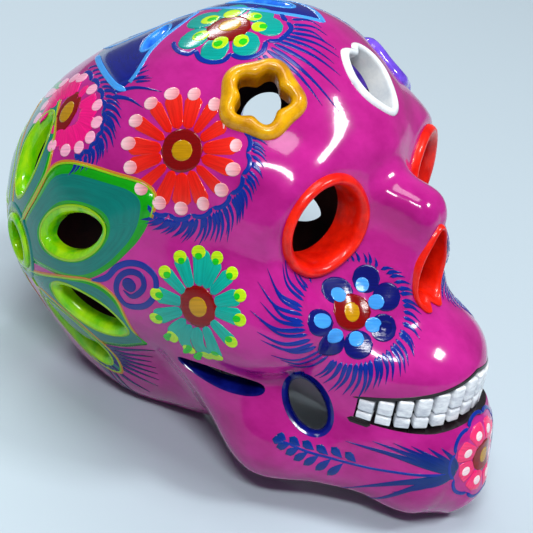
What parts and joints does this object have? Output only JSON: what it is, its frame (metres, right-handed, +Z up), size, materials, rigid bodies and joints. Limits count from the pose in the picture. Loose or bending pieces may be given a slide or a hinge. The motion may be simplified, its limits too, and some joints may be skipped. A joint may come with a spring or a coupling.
{
  "type": "pierced clay skull",
  "caption": "Hollow hand-painted clay sugar skull with pierced flowers, heart, eyes and nose, and two rows of teeth.",
  "frame": {"origin": "on the table under the middle of the skull's length and width", "axes": "+Z up, -Y out of the face, +Y towards the back of the head, -X the skull's own right side"},
  "size_m": [0.1164, 0.1868, 0.1386],
  "materials": {
    "magenta_lacquer": "gloss",
    "red_lacquer": "gloss",
    "white_lacquer": "gloss",
    "mustard_lacquer": "gloss",
    "violet_lacquer": "gloss",
    "lime_lacquer": "gloss"
  },
  "bodies": {
    "root": {"back_shell": "magenta_lacquer", "face_shell": "magenta_lacquer", "lower_jaw": "magenta_lacquer", "nose_rim": "red_lacquer", "eye_rim_right": "red_lacquer", "eye_rim_left": "red_lacquer", "heart_rim": "white_lacquer", "flower_rim_right": "mustard_lacquer", "flower_rim_left": "violet_lacquer", "occiput_rim_right": "lime_lacquer", "occiput_rim_left": "violet_lacquer", "upper_tooth_01": "white_lacquer", "upper_tooth_02": "white_lacquer", "upper_tooth_03": "white_lacquer", "upper_tooth_04": "white_lacquer", "upper_tooth_05": "white_lacquer", "upper_tooth_06": "white_lacquer", "upper_tooth_07": "white_lacquer", "upper_tooth_08": "white_lacquer", "upper_tooth_09": "white_lacquer", "upper_tooth_10": "white_lacquer", "upper_tooth_11": "white_lacquer", "upper_tooth_12": "white_lacquer", "upper_tooth_13": "white_lacquer", "upper_tooth_14": "white_lacquer", "lower_tooth_01": "white_lacquer", "lower_tooth_02": "white_lacquer", "lower_tooth_03": "white_lacquer", "lower_tooth_04": "white_lacquer", "lower_tooth_05": "white_lacquer", "lower_tooth_06": "white_lacquer", "lower_tooth_07": "white_lacquer", "lower_tooth_08": "white_lacquer", "lower_tooth_09": "white_lacquer", "lower_tooth_10": "white_lacquer", "lower_tooth_11": "white_lacquer", "lower_tooth_12": "white_lacquer", "lower_tooth_13": "white_lacquer", "lower_tooth_14": "white_lacquer"}
  },
  "joints": []
}
